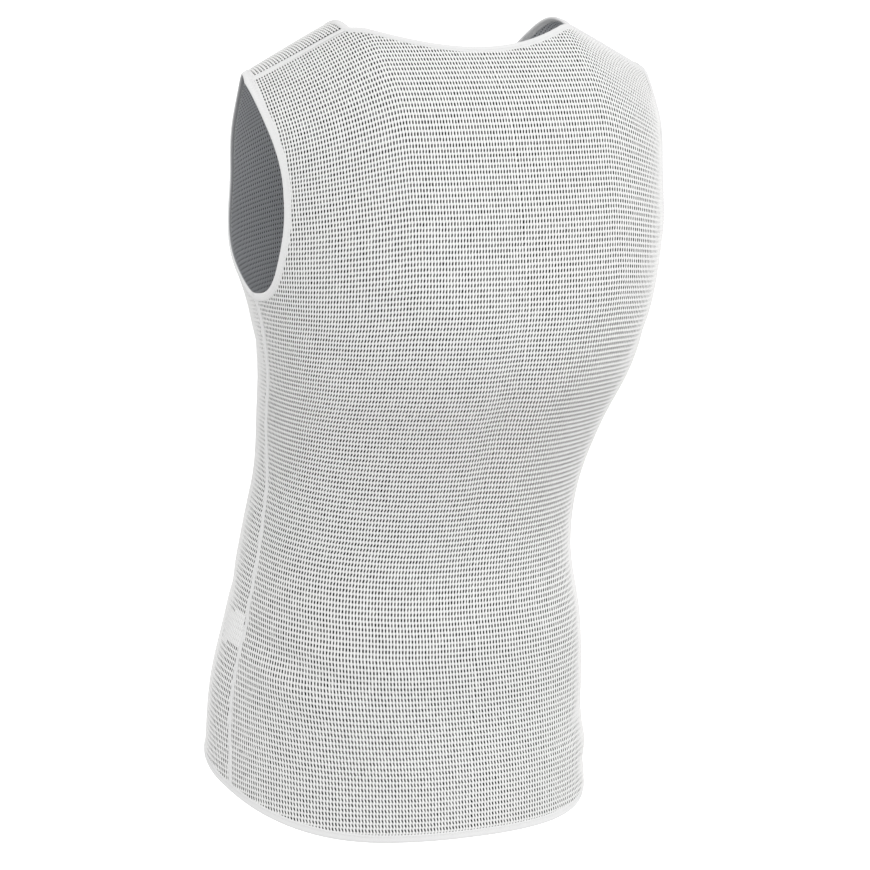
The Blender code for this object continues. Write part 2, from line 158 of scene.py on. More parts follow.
CENTRE_BACK = 90.0
CENTRE_FRONT = -90.0
PAST_SIDE = 13.0  # how far past the side, in degrees, the rows of cloth are measured


def section(column, drop):
    """One column of SECTIONS at each drop, on a smooth curve."""
    drops = SECTIONS[:, 0]
    values = SECTIONS[:, SECTION_COLUMNS.index(column)]
    steps = np.diff(drops)
    slopes = np.diff(values) / steps
    tangents = np.empty_like(values)
    joined = slopes[:-1] * steps[1:] + slopes[1:] * steps[:-1]
    tangents[1:-1] = joined / (steps[:-1] + steps[1:])
    tangents[0] = slopes[0]
    tangents[-1] = slopes[-1]
    k = np.clip(np.searchsorted(drops, drop) - 1, 0, len(drops) - 2)
    step = steps[k]
    t = (drop - drops[k]) / step
    start = (2 * t**3 - 3 * t**2 + 1) * values[k] + (t**3 - 2 * t**2 + t) * step * tangents[k]
    end = (3 * t**2 - 2 * t**3) * values[k + 1] + (t**3 - t**2) * step * tangents[k + 1]
    return start + end


def knit_lie(column, reach):
    """One column of KNIT_LIE at each reach."""
    return np.interp(reach, KNIT_LIE[:, 0], KNIT_LIE[:, KNIT_COLUMNS.index(column)])


def drop_at(reach):
    """Height below the ridge that each length of cloth comes down to."""
    angle = np.clip(reach / ROUND_REACH, 0, 1) * pi / 2
    return SHOULDER_ROUND * (1 - np.cos(angle)) + np.maximum(reach - ROUND_REACH, 0)


def reach_at(drop):
    """Length of cloth from the ridge down to a drop."""
    if drop >= SHOULDER_ROUND:
        return ROUND_REACH + drop - SHOULDER_ROUND
    return ROUND_REACH * acos(1 - drop / SHOULDER_ROUND) * 2 / pi


def body_point(reach, turn):
    """Points of the smooth surface that the cloth lies on."""
    reach = np.asarray(reach, dtype=float)
    past_ridge = np.where(reach < 0, -1.0, 1.0)
    angle = np.radians(turn) * past_ridge
    reach = np.abs(reach)
    drop = drop_at(reach)
    rounding = np.sin(np.clip(reach / ROUND_REACH, 0, 1) * pi / 2)
    along = np.cos(angle)
    out = np.sin(angle)
    depth = np.where(out >= 0, section("back_depth", drop), section("front_depth", drop))
    power = 2 / ROUNDNESS
    x = section("half_width", drop) * np.sign(along) * np.abs(along) ** power
    y = depth * rounding * np.sign(out) * np.abs(out) ** power
    past = np.maximum(np.abs(x) - SLOPE_START, 0)
    eased = past - SLOPE_EASE * (1 - np.exp(-past / SLOPE_EASE))
    fall = tan(SHOULDER_SLOPE) * eased / (1 + (drop / SLOPE_FADE) ** SLOPE_FADE_POWER)
    z = -drop - fall - section("lean", drop) * y
    return np.stack([x, section("middle_y", drop) + y, z], axis=-1)


def surface_frame(reach, turn):
    """Points, outward normals, and the steps for 1 m of reach and 1 degree of turn."""
    point = body_point(reach, turn)
    down = body_point(reach + SMALL_REACH, turn) - body_point(reach - SMALL_REACH, turn)
    round_ = body_point(reach, turn + SMALL_TURN) - body_point(reach, turn - SMALL_TURN)
    normal = np.cross(round_, -down)
    normal = normal / np.linalg.norm(normal, axis=-1, keepdims=True)
    return point, normal, down / (2 * SMALL_REACH), round_ / (2 * SMALL_TURN)


def fold_rise(reach, turn):
    """How far the soft folds lift the cloth."""
    total = np.zeros(np.broadcast(reach, turn).shape)
    for middle_turn, middle_reach, length, width, slant, rise in FOLDS:
        round_ = ((turn - middle_turn + 180) % 360 - 180) * pi / 180 * FOLD_GIRTH
        down = reach - middle_reach
        along = round_ * cos(radians(slant)) + down * sin(radians(slant))
        across = down * cos(radians(slant)) - round_ * sin(radians(slant))
        total += rise * np.exp(-(along / length) ** 2 - (across / width) ** 2)
    return total


def cloth_points(reach, turn, depth):
    """Points at a depth under the cloth's outer face, soft folds included."""
    reach = np.asarray(reach, dtype=float)
    turn = np.asarray(turn, dtype=float)
    point, normal, _, _ = surface_frame(reach, turn)
    lift = fold_rise(reach, turn) - depth
    return point + normal * lift[..., None]


# ---------------------------------------------------------------- outlines of the cut

PIT_DROP = 0.217
BACK_ARM_TURN = 22.5
FRONT_ARM_TURN = 26.0
RIDGE_ARM_TURN = 18.0
BACK_PIT_ROUND = 0.080
FRONT_PIT_ROUND = 0.100
BACK_PIT_FULLNESS = 2.1
FRONT_PIT_FULLNESS = 1.9
NECK_HALF_WIDTH = 0.1075
BACK_NECK_DROP = 0.025
FRONT_NECK_DROP = 0.092
BACK_NECK_CURVE = (1.15, 0.48)
FRONT_NECK_CURVE = (2.40, 0.31)
HEM_DROP = 0.6665
FRONT_LIFT = 0.033
LIFT_FULL = -45.0
LIFT_START = 65.0
EDGE_SAMPLES = 400


def seam_turn(reach):
    """Where the left side seam lies at each reach."""
    return section("seam_turn", drop_at(np.asarray(reach, dtype=float)))


def arm_turn(reach, back):
    """The left armhole's free edge on the back or front panel."""
    pit = reach_at(PIT_DROP)
    seam = float(seam_turn(pit))
    start = SHOULDER_SEAM if back else -SHOULDER_SEAM
    hollow = np.sin(pi * np.clip((reach - start) / (pit - start), 0, 1))
    middle = BACK_ARM_TURN if back else FRONT_ARM_TURN
    widest = RIDGE_ARM_TURN + (middle - RIDGE_ARM_TURN) * hollow
    length = BACK_PIT_ROUND if back else FRONT_PIT_ROUND
    fullness = BACK_PIT_FULLNESS if back else FRONT_PIT_FULLNESS
    height = np.clip((pit - reach) / length, 0, 1)
    rise = (1 - (1 - height) ** fullness) ** (1 / fullness)
    return seam + (widest - seam) * rise if back else seam - (widest + seam) * rise


def neck_ends(back):
    """Reach of the neck's free edge at the shoulder seam and at its lowest point."""
    if back:
        return SHOULDER_SEAM, reach_at(BACK_NECK_DROP)
    return -SHOULDER_SEAM, reach_at(FRONT_NECK_DROP)


def neck_side(share, back):
    """Half the neck's width at each share of the way from the seam to its lowest point."""
    power, fullness = BACK_NECK_CURVE if back else FRONT_NECK_CURVE
    return NECK_HALF_WIDTH * (1 - share**power) ** fullness


def turn_at_side(reach, side):
    """The turn, between the left side and a centre line, with this value of x."""
    half_width = section("half_width", drop_at(np.abs(reach)))
    return np.degrees(np.arccos(np.clip(side / half_width, 0, 1) ** (ROUNDNESS / 2)))


def hem_edge(turn):
    """Reach of the hem's free edge, longer at the back than at the front."""
    side_turn = np.where(turn > CENTRE_BACK, 180 - turn, turn)
    side_turn = np.where(turn < CENTRE_FRONT, -180 - turn, side_turn)
    share = np.clip((LIFT_START - side_turn) / (LIFT_START - LIFT_FULL), 0, 1)
    return reach_at(HEM_DROP) - FRONT_LIFT * (1 - np.cos(pi * share)) / 2


def travelled(reach, turn):
    """Length along a line of places, up to each of them."""
    steps = np.linalg.norm(np.diff(body_point(reach, turn), axis=0), axis=1)
    return np.concatenate([[0.0], np.cumsum(steps)])


def evenly(reach, turn, step):
    """The same line of places, with points about a step of cloth apart."""
    lengths = travelled(reach, turn)
    stops = np.linspace(0, lengths[-1], max(2, round(lengths[-1] / step)) + 1)
    return np.interp(stops, lengths, reach), np.interp(stops, lengths, turn)


def joined_loop(branches, step):
    """A closed loop from lines of places that meet end to end."""
    reaches = []
    turns = []
    for reach, turn in branches:
        reach, turn = evenly(reach, turn, step)
        reaches.append(reach[:-1])
        turns.append(turn[:-1])
    return np.concatenate(reaches), np.concatenate(turns)


def armhole_loop(step, left=True):
    """Free edge of an armhole: down the back, round the pit and up the front."""
    pit = reach_at(PIT_DROP)
    eased = np.sin(np.linspace(0, pi / 2, EDGE_SAMPLES))
    back = SHOULDER_SEAM + (pit - SHOULDER_SEAM) * eased
    front = (-SHOULDER_SEAM + (pit + SHOULDER_SEAM) * eased)[::-1]
    back_turn = arm_turn(back, True)
    front_turn = arm_turn(front, False)
    if left:
        return joined_loop(((back, back_turn), (front, front_turn)), step)
    front_turn = -180 - front_turn
    back_turn = 180 - back_turn
    return joined_loop(((front[::-1], front_turn[::-1]), (back[::-1], back_turn[::-1])), step)


def neck_loop(step):
    """Free edge of the neck, from the right neck point round the back and the front."""
    share = np.sin(np.linspace(0, pi / 2, EDGE_SAMPLES))
    branches = []
    for back in (True, False):
        start, lowest = neck_ends(back)
        reach = start + (lowest - start) * share
        turn = turn_at_side(reach, neck_side(share, back))
        both = np.concatenate([180 - turn, turn[-2::-1]])
        reach = np.concatenate([reach, reach[-2::-1]])
        branches.append((reach, both) if back else (reach[::-1], -both[::-1]))
    return joined_loop(branches, step)


def hem_loop(step):
    """Free edge of the hem, from the left side round the back and the front."""
    turn = np.linspace(0, 180, 2 * EDGE_SAMPLES)
    front = np.linspace(-180, 0, 2 * EDGE_SAMPLES)
    return joined_loop(((hem_edge(turn), turn), (hem_edge(front), front)), step)


def moved_aside(reach, turn, ahead, width):
    """Places moved a width along the cloth, to the left of the way ahead."""
    _, normal, down, round_ = surface_frame(reach, turn)
    moves = np.cross(normal, ahead)
    moves = moves / np.linalg.norm(moves, axis=1)[:, None] * width
    a = np.sum(down * down, axis=1)
    b = np.sum(down * round_, axis=1)
    c = np.sum(round_ * round_, axis=1)
    p = np.sum(down * moves, axis=1)
    q = np.sum(round_ * moves, axis=1)
    whole = a * c - b * b
    return reach + (c * p - b * q) / whole, turn + (a * q - b * p) / whole


def inset_loop(reach, turn, width):
    """A closed loop of places moved a width into the cloth, which is on its left."""
    points = body_point(reach, turn)
    ahead = np.roll(points, -1, axis=0) - np.roll(points, 1, axis=0)
    return moved_aside(reach, turn, ahead, width)


def inset_line(reach, turn, width):
    """An open line of places moved a width to its left."""
    return moved_aside(reach, turn, np.gradient(body_point(reach, turn), axis=0), width)


# ---------------------------------------------------------------- sizes and colours


def length(name, description, default, least=0.0):
    """A size in metres that the panel shows."""
    return FloatProperty(
        name=name, description=description, default=default, min=least, unit="LENGTH")


def colour(name, description, default):
    """A colour that the panel shows."""
    return FloatVectorProperty(
        name=name, description=description, default=default, subtype="COLOR")


class KnitSizes(bpy.types.PropertyGroup):
    """Sizes of the open mesh knit."""

    column_pitch: length("Column pitch", "Width of one mesh cell", 0.00292, 0.002)
    row_pitch: length("Row pitch", "Height of one mesh cell", 0.00460, 0.003)
    opening_width: length("Opening width", "Width of the opening in a cell", 0.00126)
    opening_height: length("Opening height", "Height of the opening in a cell", 0.00265)
    yarn_rise: length("Yarn rise", "How far the yarn crossings stand proud", 0.00018)
    opening_sink: length(
        "Opening sink", "How far the rim of an opening lies under the face", 0.00032)
    uneven: FloatProperty(
        name="Unevenness", description="How much the openings' corners stray, in column pitches",
        default=0.035, min=0.0)
    thickness: length("Knit thickness", "From the outer face to the inner face", 0.00120)


class TrimSizes(bpy.types.PropertyGroup):
    """Sizes of the bindings, seams, stitches and label."""

    binding_width: length("Binding width", "Width of the folded binding", 0.0066)
    binding_proud: length("Binding proud", "How far the binding stands over the knit", 0.0008)
    seam_width: length("Seam width", "Width of a flat side or shoulder seam", 0.0042)
    stitch_pitch: length("Stitch pitch", "Distance from one stitch to the next", 0.0028)
    thread_thick: length("Thread thickness", "Thickness of the sewing thread", 0.00042)
    label_width: length("Label width", "Width of the blank care label", 0.036)
    label_height: length("Label height", "Height of the blank care label", 0.028)


class ClothColours(bpy.types.PropertyGroup):
    """Colours of the garment's pieces."""

    knit: colour("Knit", "White of the mesh knit", (0.82, 0.818, 0.812))
    shadow: colour("Between the yarns", "What shows through the openings", (0.020, 0.020, 0.022))
    # painted shade: the inner face is white cloth, given a grey for the shade in the hollow
    inside: colour("Inside", "Inner face of the knit", (0.52, 0.53, 0.55))
    binding: colour("Binding", "White of the bindings and flat seams", (0.72, 0.72, 0.72))
    # painted shade: the bindings' inner halves are white tape, given a grey for the shade in the
    # hollow
    binding_inside: colour(
        "Binding inside", "Inner half of the bindings and seams", (0.34, 0.345, 0.355))
    thread: colour("Thread", "White of the sewing thread", (0.76, 0.76, 0.76))
    label: colour("Label", "White of the blank care label", (0.88, 0.88, 0.88))


# ---------------------------------------------------------------- finishes

# A cross bar of yarn runs over each opening, and painted shade darkens it as if it lay lower
# than the upright ribs. These say how far from the middle of a cell, as shares of its width,
# that painted shade starts to fall and where it ends.
BAR_START = 0.10
BAR_END = 0.36
BAR_PAINTED_SHADE = 0.22  # painted shade: how much darker the bars are painted than the rest of the yarn
OPENING_PAINTED_SHADE = 0.30  # painted shade: how much darker the yarn is painted towards an opening, where shade falls


def node_group(name, inputs, outputs):
    """A shader node group with named sockets, built once."""
    group = bpy.data.node_groups.new(name, "ShaderNodeTree")
    for socket, kind, default in inputs:
        item = group.interface.new_socket(socket, in_out="INPUT", socket_type=kind)
        if default is not None:
            item.default_value = default
    for socket, kind in outputs:
        group.interface.new_socket(socket, in_out="OUTPUT", socket_type=kind)
    return group, group.nodes.new("NodeGroupInput"), group.nodes.new("NodeGroupOutput")


def feed(tree, target, value):
    """Link a socket to an input, or set the input to a plain value."""
    if isinstance(value, bpy.types.NodeSocket):
        tree.links.new(value, target)
    else:
        target.default_value = value


def math_node(tree, operation, *values):
    """A Math node fed by sockets or plain numbers. Returns its output."""
    node = tree.nodes.new("ShaderNodeMath")
    node.operation = operation
    for target, value in zip(node.inputs, values):
        feed(tree, target, value)
    return node.outputs[0]


def mix_colour(tree, share, first, second):
    """A colour mix. Each value is a socket or a plain value."""
    node = tree.nodes.new("ShaderNodeMix")
    node.data_type = "RGBA"
    for index, value in ((0, share), (6, first), (7, second)):
        feed(tree, node.inputs[index], value)
    return node.outputs[2]


def smooth_fall(tree, value, start, end):
    """1 up to the start, then eased down to 0 at the end."""
    node = tree.nodes.new("ShaderNodeMapRange")
    node.interpolation_type = "SMOOTHSTEP"
    for key, number in (
        ("Value", value), ("From Min", start), ("From Max", end), ("To Min", 1.0), ("To Max", 0.0),
    ):
        feed(tree, node.inputs[key], number)
    return node.outputs["Result"]


def thread_grain_group():
    """Fine threads of a smooth knit or tape: a height and a shade."""
    name = "Fine thread grain"
    if name in bpy.data.node_groups:
        return bpy.data.node_groups[name]
    group, given, result = node_group(
        name,
        (("Vector", "NodeSocketVector", None), ("Threads", "NodeSocketFloat", 2000.0),
         ("Roughness of grain", "NodeSocketFloat", 0.5)),
        (("Height", "NodeSocketFloat"), ("Shade", "NodeSocketFloat")),
    )
    wave = group.nodes.new("ShaderNodeTexWave")
    wave.wave_type = "BANDS"
    wave.bands_direction = "DIAGONAL"
    wave.inputs["Distortion"].default_value = 1.5
    wave.inputs["Detail"].default_value = 1.0
    noise = group.nodes.new("ShaderNodeTexNoise")
    noise.inputs["Detail"].default_value = 3.0
    group.links.new(given.outputs["Vector"], wave.inputs["Vector"])
    group.links.new(given.outputs["Vector"], noise.inputs["Vector"])
    group.links.new(given.outputs["Threads"], wave.inputs["Scale"])
    group.links.new(given.outputs["Threads"], noise.inputs["Scale"])
    rough = given.outputs["Roughness of grain"]
    grain = math_node(group, "MULTIPLY", noise.outputs["Fac"], rough)
    bands = math_node(group, "MULTIPLY", wave.outputs["Fac"], 0.5)
    height = math_node(group, "ADD", grain, bands)
    group.links.new(height, result.inputs["Height"])
    shade = math_node(group, "ADD", math_node(group, "MULTIPLY", height, 0.12), 0.92)
    group.links.new(shade, result.inputs["Shade"])
    return group


def uneven_white_group():
    """A white that varies softly over the cloth, as worn and washed white does."""
    name = "Uneven white"
    if name in bpy.data.node_groups:
        return bpy.data.node_groups[name]
    group, given, result = node_group(
        name,
        (("Colour", "NodeSocketColor", None), ("Shade", "NodeSocketFloat", 1.0),
         ("Amount", "NodeSocketFloat", 0.06), ("Patch size", "NodeSocketFloat", 9.0)),
        (("Colour", "NodeSocketColor"),),
    )
    place = group.nodes.new("ShaderNodeTexCoord")
    noise = group.nodes.new("ShaderNodeTexNoise")
    noise.inputs["Detail"].default_value = 4.0
    group.links.new(place.outputs["Object"], noise.inputs["Vector"])
    group.links.new(given.outputs["Patch size"], noise.inputs["Scale"])
    swing = math_node(group, "SUBTRACT", noise.outputs["Fac"], 0.5)
    swing = math_node(group, "MULTIPLY", swing, given.outputs["Amount"])
    swing = math_node(group, "ADD", swing, 1.0)
    value = math_node(group, "MULTIPLY", swing, given.outputs["Shade"])
    scaled = group.nodes.new("ShaderNodeVectorMath")
    scaled.operation = "SCALE"
    group.links.new(given.outputs["Colour"], scaled.inputs[0])
    group.links.new(value, scaled.inputs["Scale"])
    group.links.new(scaled.outputs[0], result.inputs["Colour"])
    return group


def mesh_openings_group():
    """Where a cell of the knit is open, in cells of its own UV: 1 in an opening."""
    name = "Mesh openings"
    if name in bpy.data.node_groups:
        return bpy.data.node_groups[name]
    group, given, result = node_group(
        name,
        (("Cells", "NodeSocketVector", None), ("Half width", "NodeSocketFloat", 0.22),
         ("Half height", "NodeSocketFloat", 0.24), ("Softness", "NodeSocketFloat", 0.35)),
        (("Opening", "NodeSocketFloat"), ("Yarn height", "NodeSocketFloat"),
         ("Cross bar", "NodeSocketFloat")),
    )
    parts = group.nodes.new("ShaderNodeSeparateXYZ")
    group.links.new(given.outputs["Cells"], parts.inputs[0])
    offs = {}
    squares = []
    for axis, half in (("X", "Half width"), ("Y", "Half height")):
        share = math_node(group, "FRACT", parts.outputs[axis])
        middle = math_node(group, "SUBTRACT", share, 0.5)
        offs[axis] = math_node(group, "ABSOLUTE", middle)
        ratio = math_node(group, "DIVIDE", offs[axis], given.outputs[half])
        squares.append(math_node(group, "POWER", ratio, 2.0))
    distance = math_node(group, "SQRT", math_node(group, "ADD", *squares))
    start = math_node(group, "SUBTRACT", 1.0, given.outputs["Softness"])
    opening = smooth_fall(group, distance, start, 1.0)
    yarn = math_node(group, "MINIMUM", distance, 2.0)
    # where the knit's cross bar lies, for the painted shade on it
    bar_painted_shade = smooth_fall(group, offs["X"], BAR_START, BAR_END)
    for key, value in (("Opening", opening), ("Yarn height", yarn), ("Cross bar", bar_painted_shade)):
        group.links.new(value, result.inputs[key])
    return group


def placed(tree, group, **values):
    """A node group in a material, with its own values."""
    node = tree.nodes.new("ShaderNodeGroup")
    node.node_tree = group
    for socket, value in values.items():
        feed(tree, node.inputs[socket.replace("_", " ")], value)
    return node


def new_material(name, roughness, sheen):
    """A material with its shader, and the tree that it is in."""
    material = bpy.data.materials.new(name)
    material.use_nodes = True
    tree = material.node_tree
    shader = tree.nodes["Principled BSDF"]
    shader.inputs["Roughness"].default_value = roughness
    shader.inputs["Sheen Weight"].default_value = sheen
    shader.inputs["Specular IOR Level"].default_value = 0.25
    return material, tree, shader


def add_bump(tree, shader, height, strength, distance):
    """A Bump node that feeds the shader's normal."""
    bump = tree.nodes.new("ShaderNodeBump")
    bump.inputs["Strength"].default_value = strength
    bump.inputs["Distance"].default_value = distance
    tree.links.new(height, bump.inputs["Height"])
    tree.links.new(bump.outputs["Normal"], shader.inputs["Normal"])


def solid(colour):
    """A property's colour with full alpha."""
    return (*colour, 1.0)


def tape_material(name, colour, threads, sheen, amount):
    """A smooth white tape, seam or thread."""
    if name in bpy.data.materials:
        return bpy.data.materials[name]
    material, tree, shader = new_material(name, roughness=0.72, sheen=sheen)
    place = tree.nodes.new("ShaderNodeTexCoord").outputs["Object"]
    grain = placed(tree, thread_grain_group(), Vector=place, Threads=threads)
    white = placed(tree, uneven_white_group(), Colour=solid(colour),
                   Shade=grain.outputs["Shade"], Amount=amount)
    tree.links.new(white.outputs["Colour"], shader.inputs["Base Color"])
    add_bump(tree, shader, grain.outputs["Height"], strength=0.35, distance=0.00025)
    return material


def knit_material(colours):
    """The white yarn of the mesh knit's outer face, with painted shade towards the openings and on
    the cross bars.
    """
    name = "White mesh yarn"
    if name in bpy.data.materials:
        return bpy.data.materials[name]
    material, tree, shader = new_material(name, roughness=0.80, sheen=0.30)
    coordinates = tree.nodes.new("ShaderNodeTexCoord")
    openings = placed(tree, mesh_openings_group(), Cells=coordinates.outputs["UV"],
                      Half_width=0.34, Half_height=0.34, Softness=0.45)
    place = coordinates.outputs["Object"]
    grain = placed(tree, thread_grain_group(), Vector=place, Threads=1400.0)
    # painted shade towards each opening, then on each cross bar
    painted_opening_shade = math_node(tree, "MULTIPLY", openings.outputs["Opening"], OPENING_PAINTED_SHADE)
    shade = math_node(tree, "SUBTRACT", grain.outputs["Shade"], painted_opening_shade)
    bar_painted_shade = math_node(tree, "MULTIPLY", openings.outputs["Cross bar"], BAR_PAINTED_SHADE)
    shade = math_node(tree, "SUBTRACT", shade, bar_painted_shade)
    white = placed(tree, uneven_white_group(), Colour=solid(colours.knit), Shade=shade)
    tree.links.new(white.outputs["Colour"], shader.inputs["Base Color"])
    add_bump(tree, shader, grain.outputs["Height"], strength=0.4, distance=0.0003)
    return material


def shadow_material(colours):
    """What shows through the openings: the shade between the yarns."""
    name = "Shade between the yarns"
    if name in bpy.data.materials:
        return bpy.data.materials[name]
    material, tree, shader = new_material(name, roughness=0.95, sheen=0.0)
    grey = placed(tree, uneven_white_group(), Colour=solid(colours.shadow), Amount=0.5)
    tree.links.new(grey.outputs["Colour"], shader.inputs["Base Color"])
    return material


def painted_shade_inside_material(colours):
    """The knit's inner face in painted shade: a grey for white cloth in the hollow's shade, with
    its openings painted as dark dots of shadow.
    """
    name = "Inner face of the knit"
    if name in bpy.data.materials:
        return bpy.data.materials[name]
    material, tree, shader = new_material(name, roughness=0.90, sheen=0.05)
    cells = tree.nodes.new("ShaderNodeTexCoord").outputs["UV"]
    openings = placed(tree, mesh_openings_group(), Cells=cells, Half_width=0.26,
                      Half_height=0.30, Softness=0.5)
    white = placed(tree, uneven_white_group(), Colour=solid(colours.inside))
    # painted shadow in each opening, on a skin that has no holes
    dark = solid(colours.shadow)
    shade = mix_colour(tree, openings.outputs["Opening"], white.outputs["Colour"], dark)
    tree.links.new(shade, shader.inputs["Base Color"])
    add_bump(tree, shader, openings.outputs["Yarn height"], strength=0.5, distance=0.0004)
    return material


# ---------------------------------------------------------------- meshes


def add_mesh(name, points, faces, materials, slots=None, cells=None):
    """A smooth-shaded piece that rides on the frame's one body."""
    mesh = bpy.data.meshes.new(name)
    mesh.from_pydata(np.asarray(points).tolist(), [], np.asarray(faces).tolist())
    for material in materials:
        mesh.materials.append(material)
    if slots is not None:
        mesh.polygons.foreach_set("material_index", np.asarray(slots, dtype=np.int32))
    if cells is not None:
        corners = np.empty(len(mesh.loops), dtype=np.int32)
        mesh.loops.foreach_get("vertex_index", corners)
        layer = mesh.uv_layers.new(name="cells")
        layer.data.foreach_set("uv", np.asarray(cells)[corners].astype(np.float32).ravel())
    mesh.shade_smooth()
    mesh.update()
    item = bpy.data.objects.new(name.replace(" ", "_"), mesh)
    bpy.context.scene.collection.objects.link(item)
    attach(item, "root")
    return item


# ---------------------------------------------------------------- cells of the knit

LINE_STEP = 0.0008  # between the points of the edges and seams that the cells keep clear of
SEAM_OVERRUN = 0.0005  # how far a side seam starts above the armhole's lowest point
SEAM_SHORT_OF_HEM = 0.0008
SEAM_SHORT_OF_ENDS = 0.0006  # at the neck and at the armhole
HALF_PANEL = 0.30  # cloth on each side of a centre line that is divided into columns
TURN_SAMPLES = 121
HIP_STRETCH = 0.07  # how much wider the cells are pulled over the hips
HIP_STRETCH_START = 0.46  # the reach where that begins
HIP_STRETCH_EASE = 0.12  # the length of cloth in which it grows to the whole
EDGE_CLEARANCE = 0.0034  # from a free edge to the middle of the nearest cell
SEAM_CLEARANCE = 0.0013  # the same, from a seam


def nearest_distance(points, lines):
    """Distance from each point to the nearest point of some lines."""
    everything = np.concatenate(lines)
    tree = KDTree(len(everything))
    for index, point in enumerate(everything):
        tree.insert(point, index)
    tree.balance()
    return np.array([tree.find(point)[2] for point in points])


def free_edges():
    """Points of all the free edges that have a binding."""
    loops = (neck_loop(LINE_STEP), armhole_loop(LINE_STEP), armhole_loop(LINE_STEP, False),
             hem_loop(LINE_STEP))
    return [body_point(*loop) for loop in loops]


def seam_lines(step):
    """Places of the side seams and the shoulder seams: left, then right, of each."""
    down = np.arange(reach_at(PIT_DROP) - SEAM_OVERRUN, reach_at(HEM_DROP), step)
    down = down[down < hem_edge(seam_turn(down)) - SEAM_SHORT_OF_HEM]
    left = seam_turn(down)
    neck_x = NECK_HALF_WIDTH
    tip_x = abs(float(body_point(SHOULDER_SEAM, RIDGE_ARM_TURN)[0]))
    across = np.linspace(neck_x + SEAM_SHORT_OF_ENDS, tip_x - SEAM_SHORT_OF_ENDS,
                         round((tip_x - neck_x) / step))
    over = np.full_like(across, SHOULDER_SEAM)
    tip = turn_at_side(over, across)
    return {
        "left_side": (down, left), "right_side": (down, 180 - left),
        "left_shoulder": (over, tip), "right_shoulder": (over, 180 - tip),
    }


class PanelGrid:
    """The rows and columns of mesh cells on one panel."""

    def __init__(self, back, knit):
        self.back = back
        self.column_pitch = knit.column_pitch
        self.row_pitch = knit.row_pitch
        levels = [(SHOULDER_SEAM if back else -SHOULDER_SEAM) - self.row_pitch]
        while levels[-1] < reach_at(HEM_DROP) + self.row_pitch:
            levels.append(levels[-1] + self.row_pitch * float(knit_lie("row", levels[-1])))
        self.levels = np.array(levels)
        self.rows = len(levels) - 1
        self.columns = 2 * int(HALF_PANEL / self.column_pitch)
        centre = CENTRE_BACK if back else CENTRE_FRONT
        past = -PAST_SIDE if back else PAST_SIDE
        self.table_turns = np.linspace(centre, past, TURN_SAMPLES)
        self.tables = {}
        self.keep = self.kept_cells()

    def reaches(self, shares):
        """Reach at positions counted in cells from the first row."""
        return np.interp(shares, np.arange(len(self.levels)), self.levels)

    def across(self, shares, reach):
        """Distance from the centre line at positions counted in cells, on one level."""
        flat = (np.asarray(shares) - self.columns / 2) * self.column_pitch
        if self.back:
            flat = (1 - np.exp(-BACK_CROWDING * flat)) / BACK_CROWDING
            flat = flat - float(knit_lie("drift", reach))
        return flat * float(self.stretch(reach))

    def stretch(self, reach):
        """How much wider a cell is pulled over the hips than at the chest."""
        return 1 + HIP_STRETCH * np.clip((reach - HIP_STRETCH_START) / HIP_STRETCH_EASE, 0, 1)

    def turns(self, reach, across):
        """Turn of places a distance across from the centre line, positive to the left."""
        key = round(float(reach), 7)
        if key not in self.tables:
            level = np.full_like(self.table_turns, reach)
            self.tables[key] = travelled(level, self.table_turns)
        side = np.interp(np.abs(across), self.tables[key], self.table_turns)
        other = (180 if self.back else -180) - side
        return np.where(across < 0, other, side)

    def grid(self, row_shares, column_shares):
        """Reach and turn of places at positions counted in cells."""
        reach = np.repeat(self.reaches(row_shares)[:, None], len(column_shares), axis=1)
        turn = np.array([
            self.turns(level, self.across(column_shares, level)) for level in reach[:, 0]
        ])
        return reach, turn

    def kept_cells(self):
        """Which cells lie on the panel, clear of its free edges and seams."""
        rows = np.arange(self.rows) + 0.5
        columns = np.arange(self.columns) + 0.5
        reach, turn = self.grid(rows, columns)
        right = turn > CENTRE_BACK if self.back else turn < CENTRE_FRONT
        side_turn = np.where(right, (180 if self.back else -180) - turn, turn)
        points = body_point(reach, turn)
        side = np.abs(points[..., 0])
        arm = arm_turn(reach, self.back)
        seam = seam_turn(np.abs(reach))
        below_pit = reach > reach_at(PIT_DROP)
        limit = np.where(below_pit, seam, arm)
        inside = side_turn > limit if self.back else side_turn < limit
        inside &= reach < hem_edge(side_turn)
        neck_top, neck_low = neck_ends(self.back)
        share = np.clip((reach - neck_top) / (neck_low - neck_top), 0, 1)
        inside &= (reach > neck_low) | (side > neck_side(share, self.back))
        inside &= reach > (SHOULDER_SEAM if self.back else -SHOULDER_SEAM)
        spots = points[inside]
        from_edge = nearest_distance(spots, free_edges())
        seams = [body_point(*line) for line in seam_lines(LINE_STEP).values()]
        from_seam = nearest_distance(spots, seams)
        keep = np.zeros_like(inside)
        keep[inside] = (from_edge > EDGE_CLEARANCE) & (from_seam > SEAM_CLEARANCE)
        return keep

    def corners(self):
        """Reach, turn and count in cells of the kept cells' corners, and each cell's four."""
        across = self.columns + 1
        reach, turn = self.grid(np.arange(self.rows + 1), np.arange(across))
        row, column = np.nonzero(self.keep)
        first = row * across + column
        corners = np.stack([first, first + 1, first + across + 1, first + across], axis=1)
        used, order = np.unique(corners, return_inverse=True)
        cells = np.stack([used % across, used // across], axis=1)
        return reach.ravel()[used], turn.ravel()[used], cells, order.reshape(corners.shape)

    def face_order(self, quads):
        """Quads turned so that they face outwards."""
        return quads if self.back else quads[:, ::-1]


# ---------------------------------------------------------------- pieces of cloth and thread

SKIN = 0.0002  # thickness of the skin that is a panel's inner face


